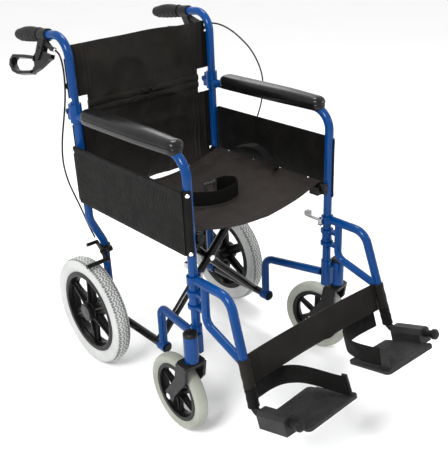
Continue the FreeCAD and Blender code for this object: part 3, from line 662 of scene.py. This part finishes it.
def back():
    lo, hi = BACK_BOX
    hinge = HINGE_Z * MM
    back_part("back_upper", hinge, hi.z, hi.z - 12 * MM, "back")
    back_part("back_lower", lo.z - BACK_DROP, hinge, lo.z - 2 * MM, "frame")


def fold_band():
    """The doubled band where the back folds, gathered between its seams."""
    low, high = BAND
    seams = [low + 1.5 * MM, (low + high) / 2, high - 1.5 * MM]
    edge = 181 * MM

    def thick(u, v):
        rise = abs(sin(2 * pi * (v - low) / (high - low))) ** 0.6
        gather = 1 + 0.3 * ripple(u * 60, v * 20, 9.0) + 0.8 * bell(u, 0.02)
        return 3.4 * MM + 6.4 * MM * rise * gather

    build = Build()
    cloth(build, back_surface, steps(-edge, edge, 92), with_lines(steps(low, high, 24), seams, 1 * MM), thick)
    for v in seams:
        stitches(build, back_surface, ((-edge + 3 * MM, v), (edge - 3 * MM, v)), 2.4 * MM)
    piece = build.finish("back_fold_band", "back_nylon", "thread")
    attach(piece, "right_frame")
    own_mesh(piece)


# ---- straps ----
def calf_band():
    """The band behind the user's calves, between the two leg tubes."""
    half, tall, middle_up = 221.2 * MM, 35 * MM, 93
    seams = [side * x * MM for side in (-1, 1) for x in (196, 186)]
    hems = [-tall + 9 * MM, tall - 9 * MM]

    def surface(u, v):
        s = abs(u) / half
        along = -15 + 9 * s * s
        slack = max(0.0, 1 - s * s)
        along -= slack * (1.6 * ripple(u * 14, v * 18, 4.0) + 2.5 * (v / tall) ** 2)
        for seam in seams:
            along += 0.5 * bell(u - seam, 1.8 * MM)
        return on_plate(u / MM, along, middle_up + v / MM)

    def thick(u, v):
        return 2.3 * MM + 1.0 * MM * max(bell(v - h, 6 * MM) for h in hems)

    build = Build()
    us = with_lines(steps(-half, half, 56), seams, 3 * MM)
    vs = with_lines(steps(-tall, tall, 10), hems, 2 * MM)
    cloth(build, surface, us, vs, thick)
    for u in seams:
        stitches(build, surface, ((u, -tall + 2 * MM), (u, tall - 2 * MM)), 1.3 * MM)
    for v in hems:
        stitches(build, surface, ((-half + 4 * MM, v), (half - 4 * MM, v)), 1.5 * MM)
    piece = build.finish("calf_band_cloth", "back_nylon", "thread")
    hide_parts("calf_band")
    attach(piece, "right_hanger")
    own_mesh(piece)


def strap_sleeve(side, name, look, low, high, inner):
    """The end of the calf band or of a heel strap, sewn round the leg tube."""
    foot, head = leg_point(SIDES[side], 20), leg_point(SIDES[side], 112)

    def relief(angle, radius, along):
        return 0.5 * MM * ripple(angle * 2.5, along * 40, inner) if radius > 12 * MM else 0

    outline = [(inner, low), (inner, high), (inner + 1.6, high), (inner + 2.4, high - 2)]
    outline += [(inner + 2 + 0.4 * cos(k), high - 3 - k * (high - low - 6) / 12) for k in range(1, 12)]
    outline += [(inner + 2.4, low + 2), (inner + 1.6, low)]
    build = Build()
    lathe(build, in_metres(reversed(outline)), foot, (head - foot).normalized(), X, 48, relief)
    piece = build.finish(f"{side}_{name}", look)
    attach(piece, f"{side}_hanger")


def strap_sleeves(side):
    strap_sleeve(side, "calf_sleeve", "back_nylon", 38.5, 106, 11.5)
    strap_sleeve(side, "heel_sleeve", "webbing_black", -6, 37.5, 11.3)


HEEL_LOOP = [(222, -26, 33), (190, -32, 32), (150, -38, 30), (112, -34, 26), (86, -8, 21),
             (75, 30, 15), (72.8, 70, 11), (72.8, 104, 9), (72.8, 128, 9)]


def heel_strap(side):
    sign = SIDES[side]
    path = smooth_path([on_plate(sign * x, a, up) for x, a, up in HEEL_LOOP])
    build = Build()
    ribbon(build, path, UPLEG, lambda share: 46 * MM, 2.2 * MM)
    piece = build.finish(f"{side}_heel_strap", "webbing_black")
    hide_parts(f"{side}_heel_loop")
    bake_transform(piece)


NEAR_BELT = [(-192, 70), (-150, 40), (-100, -8), (-50, -34), (0, -42), (42, -34), (60, -8), (50, 18),
             (22, 26)]
FAR_BELT = [(184, -34, 536.5), (194, 6, 554), (206, 50, 566), (210, 95, 564), (212, 140, 551)]


def near_belt():
    """The half of the lap belt that lies on edge across the seat, with the buckle at its end."""
    build = Build()
    path = smooth_path([at(x, y, seat_top(x) + 20.4) for x, y in NEAR_BELT])
    ribbon(build, path, Z, lambda share: 38 * MM, 2.0 * MM)
    add_buckle(build)
    piece = build.finish("lap_belt_near", "webbing_black", "hub_cap", "screw_chrome")
    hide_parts("lap_belt")
    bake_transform(piece)


def far_belt():
    """The other half, arched along the left seat rail, and the pad on its end."""
    def width(share):
        return (25 if share < 0.5 else 25 + 15 * sin(pi * min(1, (share - 0.5) * 1.25))) * MM

    build = Build()
    path = smooth_path([at(*p) for p in FAR_BELT])
    ribbon(build, path, X, width, 2.0 * MM)
    piece = build.finish("lap_belt_far", "webbing_black")
    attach(piece, "right_cross")
    build = Build()
    path = [p + Z * 2.4 * MM for p in path[-14:]]
    ribbon(build, path, X, lambda share: (26 + 12 * sin(pi * share)) * MM, 2.6 * MM)
    piece = build.finish("lap_belt_pad", "belt_pad")
    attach(piece, "right_cross")


def add_buckle(build):
    """A toothed slide buckle that stands on the seat at the end of the near strap."""
    floor = seat_top(0) + 3
    tall, wall, left, right = 32, 6, -18, 21
    bars = [((left, 0), (right, wall)), ((left, tall - wall), (right, tall)),
            ((left, wall), (left + wall, tall - wall)), ((right - wall, wall), (right, tall - wall))]
    for low, high in bars:
        add_block(build, (low[0], high[0]), (20.5, 28.5), (floor + low[1], floor + high[1]), 1)
    for i in range(7):
        x = left + 2 + 5.6 * i
        add_block(build, (x - 1.3, x + 1.3), (21.5, 27.5), (floor + tall - 0.2, floor + tall + 3), 2)


def add_block(build, xs, ys, zs, slot):
    """A block between two places in the CAD drawing's millimetres."""
    add_box(build, [at(x, y, z) for y in ys for z in zs for x in xs], slot=slot)


# ---- arm pads and handgrips ----
def round_end(distance, size, radius):
    """How much of size is left at that distance from a rounded end."""
    if distance >= radius:
        return size
    return size - radius + sqrt(max(0.0, radius ** 2 - (radius - distance) ** 2))


def arm_pad(side):
    """A moulded pad: crowned, with a parting line above the base and a channel for the tube."""
    lo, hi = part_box(f"{side}_arm_pad")
    middle, length = (lo.x + hi.x) / 2, hi.y - lo.y
    wide, tall = (hi.x - lo.x) / 2, hi.z - lo.z
    channel, lip, seam = 11.3 * MM, -6 * MM, 9.4 * MM
    ends = [0.2, 1, 2.5, 5, 8, 12, 17, 22, 28, 34, 42]
    stations = [e * MM for e in ends] + steps(52 * MM, length - 52 * MM, 22)
    stations += [length - e * MM for e in reversed(ends)]
    vertices, uvs = [], []
    for s in stations:
        nearest = min(s, length - s)
        taper = 1 - 0.3 * max(0.0, 1 - s / (210 * MM)) ** 2
        taper -= 0.06 * max(0.0, 1 - (length - s) / (90 * MM)) ** 2
        w = round_end(nearest, wide * taper, wide * taper - 1.5 * MM)
        h = round_end(nearest, tall * (1 - 0.12 * max(0.0, 1 - s / (120 * MM))), 19 * MM)
        edge = [(-w + 3.2 * MM, -5 * MM), (-w + 1.6 * MM, -3 * MM), (-w + 1.2 * MM, 7.4 * MM),
                (-w + 2.4 * MM, 8.4 * MM), (-w + 0.2 * MM, seam)]
        rise = max(1 * MM, h - seam)
        crown = [(-w * copysign(abs(cos(a)) ** 0.74, cos(a)), seam + rise * sin(a) ** 0.86)
                 for a in steps(0, pi, 16)[1:-1]]
        floor_w = max(0.5 * MM, w - 4 * MM)
        inside = min(channel, floor_w * 0.8)
        arch = 0.72 * (inside if inside > 9 * MM else 0)
        section = edge + crown + [(-x, z) for x, z in reversed(edge)] + [(floor_w, lip), (inside, lip)]
        section += [(inside * cos(a), 2 * MM + arch * sin(a)) for a in steps(0, pi, 6)]
        section += [(-inside, lip), (-floor_w, lip)]
        vertices += [Vector((middle + x, lo.y + s, lo.z + z)) for x, z in section]
        uvs += [(s, x) for x, z in section]
    build = Build()
    join_rings(build, vertices, uvs, len(section))
    piece = build.finish(f"{side}_pad_skin", "pad_black", sharp=50)
    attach(piece, f"{side}_frame")
    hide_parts(f"{side}_arm_pad")


def handle_point(x, y):
    """The handle tube's axis at this Y."""
    slope = (GRIP_END[1] - GRIP_TOP_Z) / (GRIP_END[0] - CANE_Y)
    return at(x, y, GRIP_TOP_Z + slope * (y - CANE_Y))


def handgrip(side):
    """A rubber grip with finger ridges underneath and a collar in front, in millimetres."""
    start, end = (handle_point(SIDES[side] * CANE_X, y) for y in (396, 518.5))
    axis = (end - start).normalized()
    up = X.cross(axis)
    length = (end - start).length / MM
    collar, collar_end, dome = 17.6, 4, 10
    ridges, ridge_pitch = (12, 107), 19
    stations = [0, 0.6, 3.4, collar_end, 6, 9] + [9 + 2.2 * i for i in range(1, 46)]
    stations += [length - e for e in (dome, 7, 4.5, 2.5, 1, 0.3, 0)]
    turns, vertices, uvs = 40, [], []
    for d in sorted(d for d in set(stations) if d <= length):
        swell = 15.2 + 1.6 * sin(pi * min(1, d / length))
        base = collar if d < collar_end else swell
        base = min(base, collar - 1.2 + d * 2) if d < 0.6 else base
        base *= sqrt(max(0.0, 1 - ((d - length + dome) / dome) ** 2)) if d > length - dome else 1
        droop = max(0.0, (d - length + 52) / 52)
        hump = 3.2 * sin(pi * min(1, d / (0.8 * length))) - 3.4 * droop ** 2
        turn = 2 * pi * (d - ridges[0]) / ridge_pitch
        wave = 2.6 * (0.5 - 0.5 * cos(turn)) if ridges[0] < d < ridges[1] else 0
        for i in range(turns):
            angle = 2 * pi * i / turns
            rise, down = max(0.0, sin(angle)), max(0.0, -sin(angle))
            r = (base + hump * rise + wave * down ** 0.6) * MM
            vertices.append(start + axis * (d * MM) + (X * cos(angle) + up * sin(angle)) * r)
            uvs.append((angle * 0.016, d * MM))
    build = Build()
    join_rings(build, vertices, uvs, turns)
    piece = build.finish(f"{side}_grip_skin", "grip_rubber", sharp=50)
    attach(piece, f"{side}_back")
    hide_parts(f"{side}_handgrip")


# ---- wheels ----
def tyre_outline(radius, inner, half, crown):
    """Closed section of a tyre: side walls, shoulders and a rounded tread, as (radius, across)."""
    angles = [pi * (k / 36 - 0.5) for k in range(37)]
    tread = [(radius - crown * (1 - cos(a) ** 0.9), half * 0.97 * sin(a)) for a in angles]
    walls = [(radius - crown * 1.5, half), (radius - crown * 2.2, half * 0.96),
             (inner + 4 * MM, half * 0.78), (inner, half * 0.7)]
    return [(r, -a) for r, a in reversed(walls)] + tread + walls


def rear_tyre(side):
    """A grey tyre with rows of zigzag tread."""
    pitches, rows = 64, 4
    lo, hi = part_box(f"{side}_rear_tyre")
    centre, radius, half = (lo + hi) / 2, (hi.z - lo.z) / 2, (hi.x - lo.x) / 2
    land = half * 0.8

    def relief(angle, r, across):
        if abs(across) > land or r < radius * 0.9:
            return 0
        phase = angle * pitches / (2 * pi)
        zigzag = abs((phase % 1) - 0.5) * 4 - 1
        line = (across / land + 1) / 2 * rows + 0.36 * zigzag
        groove = max(0.0, 1 - abs((line % 1) - 0.5) / 0.24)
        cut = 0.8 * (abs(across) > land * 0.6) * (phase % 0.5 < 0.13)
        edge = min(1, (land - abs(across)) / (1 * MM))
        return -2.1 * MM * max(groove, cut) * edge - 0.25 * MM

    build = Build()
    outline = tyre_outline(radius, 118.4 * MM, half, 13 * MM)
    # faces sunk deeper than 1 mm take tread_groove, painted shade in the tread's grooves
    lathe(build, outline, centre, X, Z, pitches * 10, relief, groove=1.0 * MM)
    piece = build.finish(f"{side}_rear_tyre_tread", "tyre_grey", "tread_groove", sharp=60)
    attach(piece, f"{side}_rear_wheel")
    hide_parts(f"{side}_rear_tyre")


def caster_frame(side):
    """The caster wheel's centre, axle direction and radius."""
    lo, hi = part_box(f"{side}_caster_tyre")
    turned = radians({"left": 9.3, "right": -2.0}[side])
    return (lo + hi) / 2, Vector((cos(turned), sin(turned), 0)), (hi.z - lo.z) / 2


def caster_tyre(side):
    centre, axle, radius = caster_frame(side)
    half = 16.5 * MM
    groove_x, groove_width = 9 * MM, 0.9 * MM

    def relief(angle, r, across):
        if r < radius - 3 * MM:
            return 0
        return -0.5 * MM * bell(abs(across) - groove_x, groove_width)

    build = Build()
    lathe(build, tyre_outline(radius, 76.3 * MM, half, 7.5 * MM), centre, axle, Z, 120, relief)
    piece = build.finish(f"{side}_caster_tyre_skin", "caster_tyre_grey", sharp=50)
    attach(piece, f"{side}_caster_wheel")
    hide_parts(f"{side}_caster_tyre")


SPOKES = 6
HUB_END = 24 * MM  # from the rear wheel's middle plane to the end of its hub


def spoke_ribs(build, centre, axle, face, inner, outer, wide, tall):
    """A raised rib down the middle of each spoke, from the web's face outwards."""
    for _, out in round_about(axle, Z, SPOKES):
        across = axle.cross(out) * (wide / 2)
        sign = copysign(1, face)
        corners = []
        for r, t in ((inner, tall), (outer, tall * 0.35)):
            for h in (face * 0.9, face + sign * t):
                corners += [centre + out * r + axle * h + across * w for w in (-1, 1)]
        add_box(build, corners, face > 0)


def wheel_details(side):
    """Spoke ribs, hub cap and rim beads of the rear wheel, and spoke ribs of the caster."""
    sign = SIDES[side]
    lo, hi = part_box(f"{side}_rear_tyre")
    centre = (lo + hi) / 2
    build = Build()
    for face in (4.5 * MM, -4.5 * MM):
        spoke_ribs(build, centre, X, face, 25 * MM, 101 * MM, 4.5 * MM, 11 * MM)
    bead = in_metres([(104, 15), (106, 18.6), (109, 19.4), (112, 18.6), (113.5, 15)])
    lathe(build, bead, centre, X, Z, 96)
    lathe(build, [(r, -a) for r, a in reversed(bead)], centre, X, Z, 96)
    hub = in_metres([(26.8, sign * 8), (29.5, sign * 8.5), (29.5, sign * 12), (26.8, sign * 14)])
    lathe(build, hub[::sign], centre, X, Z, 64)
    piece = build.finish(f"{side}_rear_wheel_ribs", "wheel_black", sharp=35)
    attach(piece, f"{side}_rear_wheel")
    build = Build()
    outline = [(0, 0), (21, 0), (22, 0.8), (22, 2.6), (20.6, 3.6), (18.4, 3.6), (17.6, 2.8), (6, 3.6),
               (0, 3.8)]
    disc(build, in_metres(outline), centre + X * (sign * HUB_END), X * sign, Z, 64)
    piece = build.finish(f"{side}_hub_cap", "hub_cap", sharp=30)
    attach(piece, f"{side}_rear_wheel")
    centre, axle, _ = caster_frame(side)
    build = Build()
    for face in (4 * MM, -4 * MM):
        spoke_ribs(build, centre, axle, face, 15 * MM, 65 * MM, 3 * MM, 6 * MM)
    piece = build.finish(f"{side}_caster_ribs", "wheel_black", sharp=35)
    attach(piece, f"{side}_caster_wheel")


# ---- skirt guards ----
def guard_chevrons(side):
    """Slanted ridges moulded on both faces of the skirt guard, under its top hem."""
    pitch, wide, tall, slope = 10.5 * MM, 2.6 * MM, 0.42 * MM, 0.42
    sign = SIDES[side]
    bottom, bend, top = (z * MM for z in (GUARD_Z[0] + 8, GUARD_Z[0] + 82, GUARD_Z[1] - 18))
    y_low, y_high = at(0, POST_Y + 3, 0).y, at(0, CANE_Y - 8, 0).y
    build = Build()
    for outward, x in (1, GUARD_X[1]), (-1, GUARD_X[0]):
        for i in range(-14, round((y_high - y_low) / pitch) + 15):
            y = y_low + i * pitch
            knee = (y + (bend - bottom) * slope, bend)
            for run in ((y, bottom), knee), (knee, (knee[0] - (top - bend) * slope, top)):
                clipped = clip_run(run, y_low, y_high)
                if clipped:
                    add_ridge(build, clipped, sign * x * MM, X * (sign * outward), wide, tall)
    piece = build.finish(f"{side}_guard_chevrons", "guard_black", sharp=20)
    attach(piece, f"{side}_frame")


def clip_run(run, low, high):
    """The part of a slanted run whose Y is between low and high, or None if little of it is."""
    (y0, z0), (y1, z1) = run
    enters, leaves = sorted((limit - y0) / (y1 - y0) for limit in (low, high))
    start, end = max(0.0, enters), min(1.0, leaves)
    if end - start < 0.05:
        return None
    return [(y0 + (y1 - y0) * t, z0 + (z1 - z0) * t) for t in (start, end)]


def add_ridge(build, run, x, out, wide, tall):
    """A low ridge with sloped sides along a run on the guard's face at x."""
    ends = [Vector((x, y, z)) for y, z in run]
    side = out.cross(ends[1] - ends[0]).normalized() * (wide / 2)
    section = [-side - out * 0.3 * MM, -side * 0.35 + out * tall, side * 0.35 + out * tall,
               side - out * 0.3 * MM]
    vertices = [end + corner for end in ends for corner in section]
    faces = [(0, 4, 5, 1), (1, 5, 6, 2), (2, 6, 7, 3), (3, 7, 4, 0), (0, 1, 2, 3), (7, 6, 5, 4)]
    build.add(vertices, [tuple(reversed(f)) for f in faces])


# ---- brake cables and small hardware ----
CABLE = {
    "left": [(235.2, 320, 875.1), (235.6, 300, 875.6), (245, 279, 876), (268, 270, 870),
             (312, 276, 848), (356, 283, 817), (398, 285, 778), (430, 286, 730), (449, 287, 680),
             (448, 288, 626), (430, 288, 574), (398, 287, 526), (360, 286, 484), (316, 284, 447),
             (276, 282, 414), (243, 275, 388), (214, 267, 370)],
    "right": [(-235.2, 321, 875.1), (-235.2, 299, 874), (-234.5, 284, 856), (-232.5, 284, 812),
              (-236, 288, 757), (-246, 291, 706), (-259, 292, 652), (-266, 291, 596),
              (-260, 289, 542), (-244, 287, 490), (-230, 285, 444), (-222, 280, 405), (-214, 267, 370)],
}


def cable_line(points):
    """Points along a smooth spline that has the route's points as its control points."""
    curve = bpy.data.curves.new("route", "CURVE")
    curve.dimensions, curve.resolution_u = "3D", 10
    spline = curve.splines.new("NURBS")
    spline.points.add(len(points) - 1)
    for control, point in zip(spline.points, points):
        control.co = (*point, 1)
    spline.order_u = 3
    spline.use_endpoint_u = True
    holder = new_object("route", curve)
    bpy.context.view_layer.update()
    mesh = bpy.data.meshes.new_from_object(holder)
    line = [v.co.copy() for v in mesh.vertices]
    bpy.data.objects.remove(holder)
    return line


def round_tube(build, path, radius):
    """A tube along the path, its rings turned as little as possible from one to the next."""
    sides = 14
    across = (path[1] - path[0]).orthogonal().normalized()
    vertices, uvs, length = [], [], 0.0
    for i, p in enumerate(path):
        along = direction(path, i)
        across = (across - along * across.dot(along)).normalized()
        length += (p - path[i - 1]).length if i else 0
        for angle, out in round_about(along, across, sides):
            vertices.append(p + out * radius)
            uvs.append((angle * radius, length))
    join_rings(build, vertices, uvs, sides)


def brake_cable(side):
    path = cable_line([at(*p) for p in CABLE[side]])
    build = Build()
    round_tube(build, path, CABLE_R)
    piece = build.finish(f"{side}_cable_sheath", "cable_black", sharp=60)
    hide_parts(f"{side}_brake_cable")
    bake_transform(piece)
    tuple(path[0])
    build = Build()
    axis = (path[0] - path[3]).normalized()
    foot = path[0] - axis * 14 * MM
    outline = [(2.5, 0), (4.2, 0.6), (4.2, 6), (3.4, 7), (3.4, 9), (5.2, 10), (5.2, 15), (3.2, 16), (2.5, 16)]
    lathe(build, in_metres(outline), foot, axis, X.cross(axis).normalized(), 24)
    piece = build.finish(f"{side}_cable_adjuster", "bolt_white", sharp=30)
    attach(piece, f"{side}_back")


def cane_bolt(side):
    """The white domed bolt on the outside of the cane, over the fold."""
    sign = SIDES[side]
    build = Build()
    outline = [(0, -2), (5, -2), (5, 1), (4.2, 2.4), (2.4, 3.4), (0, 3.8)]
    disc(build, in_metres(outline), at(sign * (CANE_X + 11), CANE_Y, 757), X * sign, Z, 32)
    piece = build.finish(f"{side}_cane_bolt", "bolt_white", sharp=40)
    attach(piece, f"{side}_back")


def rail_caps(side):
    """Plugs in the ends of the seat rail."""
    build = Build()
    outline = [(0, -4), (8, -4), (8, 0.1), (10.6, 0.1), (10.6, 2.4), (9.2, 4.2), (5, 5.2), (0, 5.5)]
    for end, out in zip(RAIL_ENDS, (-Y, Y)):
        disc(build, in_metres(outline), at(-SIDES[side] * RAIL_X, end, RAIL_Z), out, Z, 36)
    piece = build.finish(f"{side}_rail_caps", "moulded_black", sharp=40)
    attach(piece, f"{side}_cross")


def post_bushing(side):
    """The moulded spacer on the front post between the two lugs of the swinging hanger."""
    build = Build()
    outline = [(11.1, 357), (13.4, 357), (14, 358), (14, 363), (13, 364), (13, 376), (14, 377), (14, 382),
               (13.4, 383), (11.1, 383)]
    lathe(build, in_metres(outline), at(SIDES[side] * POST_X, POST_Y, 0), Z, X, 40)
    piece = build.finish(f"{side}_post_bushing", "frame_blue", sharp=40)
    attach(piece, f"{side}_frame")


def finish_cad_nodes():
    """Gives every CAD node the finished look of its own slot."""
    for part in frame["record"]["subparts"]:
        for slot in frame["nodes"][part["node"]].material_slots:
            slot.material = LOOKS[part["material_slot"]]


def both_sides(*makers):
    """Makes the left and then the right one of each."""
    for make in makers:
        for side in SIDES:
            make(side)


make_looks()
place_camera()
both_sides(brake_cable)
studio()
finish_cad_nodes()
seat()
back()
fold_band()
calf_band()
both_sides(heel_strap, strap_sleeves)
near_belt()
far_belt()
both_sides(arm_pad, handgrip, rear_tyre, caster_tyre, wheel_details, guard_chevrons, cane_bolt, rail_caps,
           post_bushing)
